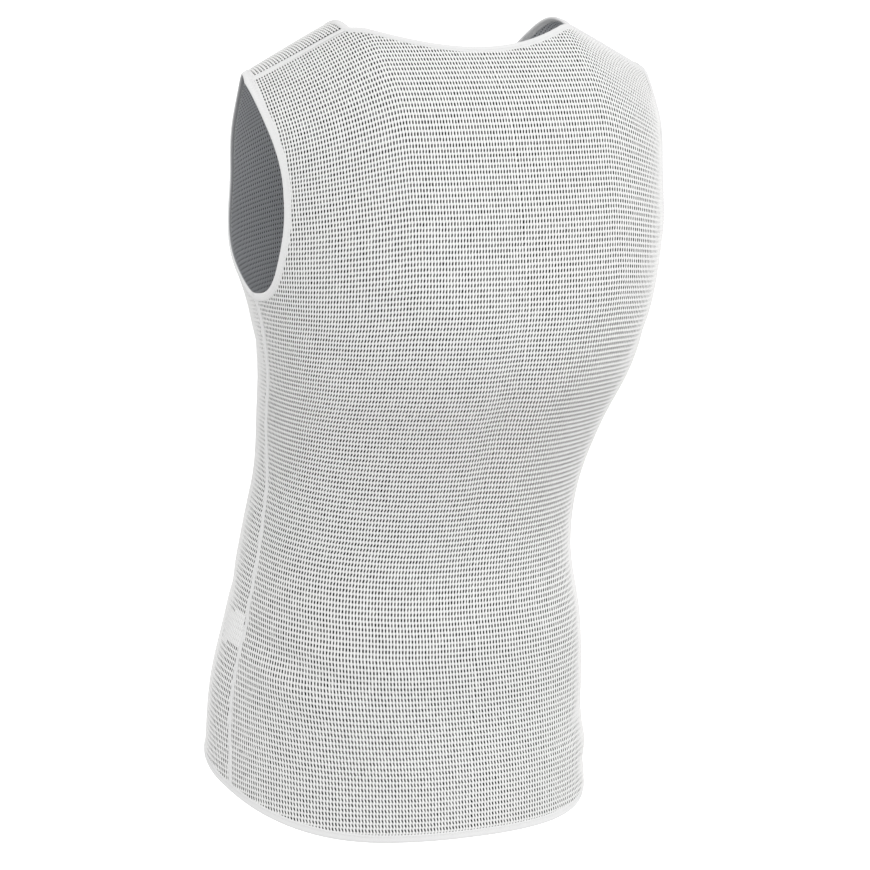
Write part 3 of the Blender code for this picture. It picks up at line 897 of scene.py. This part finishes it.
def knit_face(name, grid, knit, colours):
    """The outer face of a panel: yarn round every opening of the mesh."""
    half_width = knit.opening_width / knit.column_pitch / 2
    half_height = knit.opening_height / knit.row_pitch / 2
    low, high = 0.5 - half_height, 0.5 + half_height
    near, far = 0.5 - half_width, 0.5 + half_width
    rows = np.arange(grid.rows)
    columns = np.arange(grid.columns)
    row, column = np.nonzero(grid.keep)
    corner_reach, corner_turn, corner_cells, corners = grid.corners()
    points = [cloth_points(corner_reach, corner_turn, -knit.yarn_rise)]
    cells = [corner_cells]
    holes = []
    count = len(corner_cells)
    chance = np.random.default_rng(KNIT_SEED)
    for row_share, column_share in ((low, near), (low, far), (high, far), (high, near)):
        sway, rise = chance.normal(0.0, (knit.uneven, knit.uneven / 2), (len(row), 2)).T
        reach, turn = grid.grid(rows + row_share, columns + column_share)
        _, after = grid.grid(rows + row_share, columns + column_share + 1)
        lean = knit_lie("lean", reach[row, column]) * (row_share - 0.5) / (high - low)
        lean = lean if grid.back else -lean
        moved = turn[row, column] + (after - turn)[row, column] * (lean + sway)
        level = reach[row, column] + np.diff(grid.levels)[row] * rise
        points.append(cloth_points(level, moved, knit.opening_sink))
        cells.append(np.stack([column + column_share, row + row_share], axis=1))
        holes.append(np.arange(len(row)) + count)
        count += len(row)
    holes = np.stack(holes, axis=1)
    quads = []
    for side in range(4):
        after = (side + 1) % 4
        quads.append(np.stack(
            [corners[:, side], corners[:, after], holes[:, after], holes[:, side]], axis=1))
    quads = grid.face_order(np.concatenate(quads))
    return add_mesh(name, np.concatenate(points), quads, [knit_material(colours)],
                    cells=np.concatenate(cells))


def open_edges(quads):
    """The edges of some faces that no other of them shares."""
    edges = np.concatenate([quads[:, [k, (k + 1) % 4]] for k in range(4)])
    _, index, times = np.unique(
        np.sort(edges, axis=1), axis=0, return_index=True, return_counts=True)
    return edges[index[times == 1]]


def inner_face(name, grid, knit, colours, label_place=None):
    """The inner face of a panel: a thin skin. Its outer side, seen through the openings, is
    painted with the shadow between the yarns; its inner side is in painted shade.
    """
    reach, turn, cells, corners = grid.corners()
    over_label = np.zeros(len(corners), dtype=bool)
    if label_place is not None:
        row, _ = np.nonzero(grid.keep)
        middle = body_point(grid.reaches(row + 0.5), turn[corners].mean(axis=1))
        over_label = (np.abs(middle - label_place[0]) < label_place[1]).all(axis=1)
    level = np.full(len(reach), knit.thickness - SKIN)
    level[corners[over_label].ravel()] = knit.opening_sink + SKIN / 2
    outer = cloth_points(reach, turn, level)
    inner = cloth_points(reach, turn, level + SKIN)
    outward = grid.face_order(corners)
    inward = outward[:, ::-1] + len(reach)
    rim = open_edges(outward)
    rim = np.concatenate([rim[:, ::-1], rim + len(reach)], axis=1)
    rest = np.ones(len(inward) + len(rim), dtype=np.int32)
    patch = tape_material(
        "Label seen through the knit", colours.label, threads=900.0, sheen=0.0, amount=0.02)
    materials = [shadow_material(colours), painted_shade_inside_material(colours), patch]
    return add_mesh(
        name, np.concatenate([outer, inner]), np.concatenate([outward, inward, rim]), materials,
        slots=np.concatenate([over_label.astype(np.int32) * 2, rest]),
        cells=np.concatenate([cells, cells]))


def swept_strip(name, rings, closed, materials, outer_sides=None):
    """A strip through rings of points, each ring an open line across it.

    Sides from outer_sides on have the second material.
    """
    count, sides = rings.shape[:2]
    start = np.arange(count if closed else count - 1)
    after = (start + 1) % count
    faces = []
    for side in range(sides - 1):
        faces.append(np.stack([
            start * sides + side, after * sides + side,
            after * sides + side + 1, start * sides + side + 1], axis=1))
    sides_outside = sides - 1 if outer_sides is None else outer_sides
    slots = np.repeat((np.arange(sides - 1) >= sides_outside).astype(np.int32), len(start))
    return add_mesh(name, rings.reshape(-1, 3), np.concatenate(faces), materials,
                    slots=slots)


# The rings of a stitch, from end to end. Columns: share, how far along it; width and lift,
# how wide it is and how high it lies there, as shares of the thread's thickness.
STITCH_PROFILE = ((0.0, 0.15, -0.6), (0.2, 0.9, 0.0), (0.8, 0.9, 0.0), (1.0, 0.15, -0.6))
STITCH_SHARE = 0.78  # how much of its pitch a stitch fills


def stitch_row(starts, ends, outward, thick):
    """Points and faces of short stitches, each a small rounded bar."""
    along = ends - starts
    across = np.cross(outward, along)
    across = across / np.linalg.norm(across, axis=1)[:, None]
    rings = []
    for share, width, lift in STITCH_PROFILE:
        middle = starts + along * share + outward * thick * 0.5 * lift
        for side, up in ((1, 0), (0, 1), (-1, 0), (0, -1)):
            rings.append(middle + (across * side + outward * up) * thick * 0.5 * width)
    points = np.stack(rings, axis=1)
    faces = []
    for ring in range(len(STITCH_PROFILE) - 1):
        for side in range(4):
            a = ring * 4 + side
            b = ring * 4 + (side + 1) % 4
            faces.append((b, a, a + 4, b + 4))
    corners = len(rings)
    faces.append((0, 1, 2, 3))
    faces.append((corners - 1, corners - 2, corners - 3, corners - 4))
    faces = np.array(faces)
    whole = (np.arange(len(starts)) * corners)[:, None, None] + faces[None]
    return points.reshape(-1, 3), whole.reshape(-1, 4)


def add_stitches(name, rows, thick, material):
    """One piece from several rows of stitches."""
    points = []
    faces = []
    count = 0
    for starts, ends, outward in rows:
        row_points, row_faces = stitch_row(starts, ends, outward, thick)
        points.append(row_points)
        faces.append(row_faces + count)
        count += len(row_points)
    return add_mesh(name, np.concatenate(points), np.concatenate(faces), [material])


def stitches_along(reach, turn, depth):
    """Starts, ends and outward directions of stitches along a line of places."""
    points = cloth_points(reach, turn, depth)
    _, normal, _, _ = surface_frame(reach, turn)
    ahead = points[1:] - points[:-1]
    return points[:-1], points[:-1] + ahead * STITCH_SHARE, normal[:-1]


# ---------------------------------------------------------------- operators

# The rectangles that the panels are cut from.
BACK_CUT = (0.56, 0.70)
FRONT_CUT = (0.52, 0.70)
LABEL_SEEN_MARGIN = (0.006, 0.0, -0.001)  # past the label's box, where it shows through

# A folded binding, from the outer side round its edge to the inner side. Columns: share, how
# far over the cloth from the free edge; thick and proud, the point's depth as this much of
# the knit's thickness and this much of how far the binding stands proud.
BINDING_PROFILE = (
    (1.01, 0.0, 0.10), (1.00, 0.0, -0.45), (0.90, 0.0, -0.92), (0.72, 0.0, -0.80),
    (0.45, 0.0, -1.00), (0.18, 0.0, -0.90), (0.04, 0.0, -0.35), (-0.02, 0.5, 0.00),
    (0.04, 1.0, 0.40), (0.18, 1.0, 0.90), (0.50, 1.0, 1.00),
    (0.90, 1.0, 0.90), (1.00, 1.0, 0.50), (1.01, 1.0, 0.00),
)
BINDING_OUTER_SIDES = 7
BINDING_STEP = 0.0010
BINDING_STITCH_ROWS = (0.70, 0.86)  # shares of the binding's width from the free edge

# A flat seam, from one side to the other. Columns: share of half its width; depth under the
# cloth's outer face.
SEAM_PROFILE = (
    (-1.02, 0.0004), (-0.98, -0.0002), (-0.80, -0.0006), (-0.35, -0.0007), (0.0, -0.0005),
    (0.35, -0.0007), (0.80, -0.0006), (0.98, -0.0002), (1.02, 0.0004),
)
SEAM_STEP = 0.0010
SEAM_STITCH_SHARE = 0.62
SEAM_STITCH_DEPTH = -0.0007

LABEL_FROM_SEAM = 0.003
LABEL_GAP = 0.0004
LABEL_THICKNESS = 0.0003
LABEL_CURL = 0.0006
LABEL_ROWS = 15
LABEL_COLUMNS = 19
LABEL_LAST_TURN = -30.0
LABEL_TURN_SAMPLES = 60
LABEL_STITCH_SHARE = 0.75


def thread_material(colours):
    """The sewing thread of every seam, binding and label."""
    return tape_material(
        "White sewing thread", colours.thread, threads=3000.0, sheen=0.05, amount=0.03)


def painted_shade_tape_material(colours):
    """The inner half of the bindings and seams, painted grey for the shade in the hollow."""
    return tape_material(
        "Binding tape inside", colours.binding_inside, threads=1100.0, sheen=0.05, amount=0.08)


class GarmentOperator(bpy.types.Operator):
    """Shared by the operators that sew the garment."""

    bl_options = {"REGISTER", "UNDO"}

    def sizes(self, context):
        """The scene's knit sizes, trim sizes and colours."""
        scene = context.scene
        return scene.knit_sizes, scene.trim_sizes, scene.cloth_colours


class KNIT_OT_panels(GarmentOperator):
    """Knit the back and front panels, cut to their outlines"""

    bl_idname = "garment.knit_panels"
    bl_label = "Knit the panels"

    def execute(self, context):
        knit, _, colours = self.sizes(context)
        low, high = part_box("care_label")
        middle = (np.array(low) + np.array(high)) / 2
        half = (np.array(high) - np.array(low)) / 2 + LABEL_SEEN_MARGIN
        for node, back, flat, label_place in (
            ("back_panel", True, BACK_CUT, None),
            ("front_panel", False, FRONT_CUT, (middle, half)),
        ):
            grid = PanelGrid(back, knit)
            name = "Back panel" if back else "Front panel"
            face = knit_face(f"{name} knit", grid, knit, colours)
            skin = inner_face(f"{name} inner face", grid, knit, colours, label_place)
            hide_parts(node)
        return {"FINISHED"}


class KNIT_OT_bindings(GarmentOperator):
    """Fold the bindings over the neck, the armholes and the hem"""

    bl_idname = "garment.fold_bindings"
    bl_label = "Fold the bindings"

    def execute(self, context):
        knit, trim, colours = self.sizes(context)
        tape = tape_material(
            "White binding tape", colours.binding, threads=1100.0, sheen=0.12, amount=0.05)
        painted_shade_tape = painted_shade_tape_material(colours)
        thread = thread_material(colours)
        loops = {
            "neck": (neck_loop, {}), "left_armhole": (armhole_loop, {"left": True}),
            "right_armhole": (armhole_loop, {"left": False}), "hem": (hem_loop, {}),
        }
        for node, (line, options) in loops.items():
            name = node.replace("_", " ").capitalize() + " binding"
            edge = line(BINDING_STEP, **options)
            rings = self.rings(edge, knit, trim)
            # the inner half of each binding but the neck's is in painted shade
            finishes = [tape, tape] if node == "neck" else [tape, painted_shade_tape]
            piece = swept_strip(name, rings, True, finishes, BINDING_OUTER_SIDES)
            points = body_point(*edge)
            rows = self.stitch_rows(line(trim.stitch_pitch, **options), knit, trim)
            stitches = add_stitches(f"{name} stitches", rows, trim.thread_thick, thread)
            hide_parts(f"{node}_binding")
        return {"FINISHED"}

    def rings(self, edge, knit, trim):
        """The points across a binding, at each place along its free edge."""
        reach, turn = edge
        inner_reach, inner_turn = inset_loop(reach, turn, trim.binding_width)
        lines = []
        for share, thick, proud in BINDING_PROFILE:
            depth = knit.thickness * thick + trim.binding_proud * proud
            lines.append(cloth_points(reach + (inner_reach - reach) * share,
                                      turn + (inner_turn - turn) * share, depth))
        return np.stack(lines, axis=1)

    def stitch_rows(self, edge, knit, trim):
        """The rows of stitches on both sides of a binding."""
        back = knit.thickness + trim.binding_proud
        rows = []
        for share in BINDING_STITCH_ROWS:
            row = inset_loop(*edge, trim.binding_width * share)
            for depth, side in ((-trim.binding_proud, 1), (back, -1)):
                starts, ends, outward = stitches_along(*row, depth)
                near = np.linalg.norm(ends - starts, axis=1) < 2 * trim.stitch_pitch
                rows.append((starts[near], ends[near], outward[near] * side))
        return rows


class KNIT_OT_seams(GarmentOperator):
    """Sew the flat side seams and shoulder seams"""

    bl_idname = "garment.sew_flat_seams"
    bl_label = "Sew the flat seams"

    def execute(self, context):
        knit, trim, colours = self.sizes(context)
        tape = tape_material(
            "Flat seam", colours.binding, threads=1300.0, sheen=0.10, amount=0.05)
        painted_shade_tape = painted_shade_tape_material(colours)
        thread = thread_material(colours)
        half = trim.seam_width / 2
        for place, (reach, turn) in seam_lines(SEAM_STEP).items():
            name = place.replace("_", " ").capitalize() + " seam"
            for inside in (False, True):
                rings = []
                for share, depth in SEAM_PROFILE:
                    level = knit.thickness - depth if inside else depth
                    rings.append(cloth_points(*inset_line(reach, turn, share * half), level))
                rings = np.stack(rings[::-1] if inside else rings, axis=1)
                label = f"{name} inside" if inside else name
                swept_strip(label, rings, False, [painted_shade_tape if inside else tape])
            line = evenly(reach, turn, trim.stitch_pitch)
            add_stitches(f"{name} stitches", self.stitch_rows(line, half), trim.thread_thick,
                         thread)
        return {"FINISHED"}

    def stitch_rows(self, line, half):
        """A row of stitches on each side of a seam, and the slanted ones between them."""
        left = inset_line(*line, -SEAM_STITCH_SHARE * half)
        right = inset_line(*line, SEAM_STITCH_SHARE * half)
        rows = [stitches_along(*side, SEAM_STITCH_DEPTH) for side in (left, right)]
        _, normal, _, _ = surface_frame(*line)
        starts = cloth_points(*left, SEAM_STITCH_DEPTH)
        ends = cloth_points(*right, SEAM_STITCH_DEPTH)
        rows.append((starts[:-1], ends[1:], normal[:-1]))
        return rows


class KNIT_OT_label(GarmentOperator):
    """Sew the blank care label inside the left side seam"""

    bl_idname = "garment.sew_label"
    bl_label = "Sew the care label"

    def execute(self, context):
        knit, trim, colours = self.sizes(context)
        tape = tape_material(
            "Blank label tape", colours.label, threads=900.0, sheen=0.05, amount=0.02)
        outer, inner = self.faces(knit, trim)
        count, sides = outer.shape[:2]
        under = count * sides
        index = np.arange(under).reshape(count, sides)
        quads = np.stack([index[:-1, :-1], index[:-1, 1:], index[1:, 1:], index[1:, :-1]], axis=-1)
        quads = quads.reshape(-1, 4)
        rim = np.concatenate([index[0], index[1:, -1], index[-1, -2::-1], index[-2:0:-1, 0]])
        after = np.roll(rim, -1)
        ring = np.stack([after, rim, rim + under, after + under], axis=1)
        points = np.concatenate([outer.reshape(-1, 3), inner.reshape(-1, 3)])
        faces = np.concatenate([quads, quads[:, ::-1] + under, ring])
        label = add_mesh("Care label", points, faces, [tape])
        stitches = add_stitches("Care label stitches", self.stitch_rows(outer, inner),
                                trim.thread_thick, thread_material(colours))
        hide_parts("care_label")
        return {"FINISHED"}

    def faces(self, knit, trim):
        """Rows of points on the label's two faces, under the cloth beside the seam."""
        low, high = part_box("care_label")
        height = (low[2] + high[2]) / 2
        reach = reach_at(-height)
        seam_height = float(body_point(reach, float(seam_turn(reach)))[2])
        start = reach + height - seam_height - trim.label_height / 2
        away = np.linspace(LABEL_FROM_SEAM, LABEL_FROM_SEAM + trim.label_width, LABEL_COLUMNS)
        curl = LABEL_CURL * np.sin(np.linspace(0, pi, LABEL_COLUMNS))
        sides = []
        for depth in (LABEL_GAP, LABEL_GAP + LABEL_THICKNESS):
            rows = []
            for reach in np.linspace(start, start + trim.label_height, LABEL_ROWS):
                turns = np.linspace(float(seam_turn(reach)), LABEL_LAST_TURN, LABEL_TURN_SAMPLES)
                turn = np.interp(away, travelled(np.full_like(turns, reach), turns), turns)
                level = knit.thickness + depth + curl
                rows.append(cloth_points(np.full_like(turn, reach), turn, level))
            sides.append(np.array(rows))
        return sides

    def stitch_rows(self, outer, inner):
        """A row of stitches down each side of the label, on its inner face."""
        rows = []
        for column in (1, -2):
            line = inner[:, column]
            ahead = line[1:] - line[:-1]
            inward = np.cross(ahead, inner[1:, 3] - inner[1:, 2])
            inward = inward / np.linalg.norm(inward, axis=1)[:, None]
            side = np.sum(inward * (inner[1:, column] - outer[1:, column]), axis=1)
            inward = inward * np.sign(side)[:, None]
            rows.append((line[:-1], line[:-1] + ahead * LABEL_STITCH_SHARE, inward))
        return rows


FLOOR_HALF = 400.0
FLOOR_LEVEL = -0.80
FLOOR_GLOW = 0.45
WORLD_STRENGTH = 0.95
LIGHT_AIM = (0.0, -0.04, -0.35)

# The lights. Columns: name, place, size and power in watts.
LIGHTS = (
    ("Key light", (1.6, 3.2, 1.6), 2.4, 44.0),
    ("Fill light", (-2.8, 1.8, 0.6), 2.4, 30.0),
    ("Front light", (0.4, -3.4, 1.2), 2.6, 24.0),
)
CAMERA_AZIMUTH = radians(147)
CAMERA_ELEVATION = radians(6.2)
CAMERA_DISTANCE = 4.0
CAMERA_TARGET = (0.0, 0.0, -0.35)
CAMERA_SHIFT = (0.0092, 0.0017)  # how far left of and under the target the camera aims
SENSOR_WIDTH = 36.0  # millimetres
PHOTO_WIDTH = 870  # pixels
FOCAL_PIXELS = 4760  # the lens's focal length, in the photograph's pixels


class KNIT_OT_stage(GarmentOperator):
    """Set up the pale floor, the soft studio light and the camera"""

    bl_idname = "garment.set_stage"
    bl_label = "Set the stage"

    def execute(self, context):
        scene = context.scene
        scene.view_settings.view_transform = "Standard"
        self.floor(scene)
        self.lights(scene)
        self.camera(scene)
        return {"FINISHED"}

    def floor(self, scene):
        """A plain pale floor under the garment, and an even white world round it."""
        mesh = bpy.data.meshes.new("Floor")
        sides = ((-1, -1), (1, -1), (1, 1), (-1, 1))
        corners = [(x * FLOOR_HALF, y * FLOOR_HALF, FLOOR_LEVEL) for x, y in sides]
        mesh.from_pydata(corners, [], [(0, 1, 2, 3)])
        material, _, shader = new_material("Pale studio floor", roughness=0.9, sheen=0.0)
        shader.inputs["Base Color"].default_value = (0.9, 0.9, 0.9, 1.0)
        shader.inputs["Emission Color"].default_value = (1.0, 1.0, 1.0, 1.0)
        shader.inputs["Emission Strength"].default_value = FLOOR_GLOW
        mesh.materials.append(material)
        floor = bpy.data.objects.new("Floor", mesh)
        scene.collection.objects.link(floor)
        floor.visible_diffuse = False
        world = bpy.data.worlds.new("Studio")
        scene.world = world
        world.use_nodes = True
        background = world.node_tree.nodes["Background"]
        background.inputs["Color"].default_value = (1.0, 1.0, 1.0, 1.0)
        background.inputs["Strength"].default_value = WORLD_STRENGTH

    def lights(self, scene):
        """Large soft lights round the garment."""
        for name, place, size, power in LIGHTS:
            data = bpy.data.lights.new(name, "AREA")
            data.shape = "DISK"
            data.size = size
            data.energy = power
            lamp = bpy.data.objects.new(name, data)
            lamp.location = place
            aim = Vector(LIGHT_AIM) - Vector(place)
            lamp.rotation_euler = aim.to_track_quat("-Z", "Y").to_euler()
            scene.collection.objects.link(lamp)

    def camera(self, scene):
        """The camera at the photograph's viewing angle."""
        data = bpy.data.cameras.new("Camera")
        data.sensor_width = SENSOR_WIDTH
        data.lens = FOCAL_PIXELS / PHOTO_WIDTH * data.sensor_width
        camera = bpy.data.objects.new("Camera", data)
        target = Vector(CAMERA_TARGET)
        level = cos(CAMERA_ELEVATION)
        back = Vector((sin(CAMERA_AZIMUTH) * level, -cos(CAMERA_AZIMUTH) * level,
                       sin(CAMERA_ELEVATION)))
        camera.location = target + back * CAMERA_DISTANCE
        right = Vector((cos(CAMERA_AZIMUTH), sin(CAMERA_AZIMUTH), 0))
        aim = target - right * CAMERA_SHIFT[0] - back.cross(right) * CAMERA_SHIFT[1]
        camera.rotation_euler = (aim - camera.location).to_track_quat("-Z", "Y").to_euler()
        scene.collection.objects.link(camera)
        scene.camera = camera


class KNIT_PT_panel(bpy.types.Panel):
    """Lists the garment's sizes, colours and steps"""

    bl_idname = "KNIT_PT_panel"
    bl_label = "Base layer"
    bl_space_type = "VIEW_3D"
    bl_region_type = "UI"
    bl_category = "Base layer"

    def draw(self, context):
        scene = context.scene
        for group in (scene.knit_sizes, scene.trim_sizes, scene.cloth_colours):
            box = self.layout.box()
            for key in group.__annotations__:
                box.prop(group, key)
        for step in STEPS:
            self.layout.operator(step.bl_idname)


STEPS = (KNIT_OT_panels, KNIT_OT_bindings, KNIT_OT_seams, KNIT_OT_label, KNIT_OT_stage)
CLASSES = (KnitSizes, TrimSizes, ClothColours, *STEPS, KNIT_PT_panel)


def register():
    """Add the sizes, colours, operators and panel to Blender."""
    for item in CLASSES:
        bpy.utils.register_class(item)
    bpy.types.Scene.knit_sizes = PointerProperty(type=KnitSizes)
    bpy.types.Scene.trim_sizes = PointerProperty(type=TrimSizes)
    bpy.types.Scene.cloth_colours = PointerProperty(type=ClothColours)


def unregister():
    """Take them out again."""
    del bpy.types.Scene.knit_sizes
    del bpy.types.Scene.trim_sizes
    del bpy.types.Scene.cloth_colours
    for item in reversed(CLASSES):
        bpy.utils.unregister_class(item)


def main():
    register()
    bpy.ops.garment.knit_panels()
    bpy.ops.garment.fold_bindings()
    bpy.ops.garment.sew_flat_seams()
    bpy.ops.garment.sew_label()
    bpy.ops.garment.set_stage()


if __name__ == "__main__":
    main()
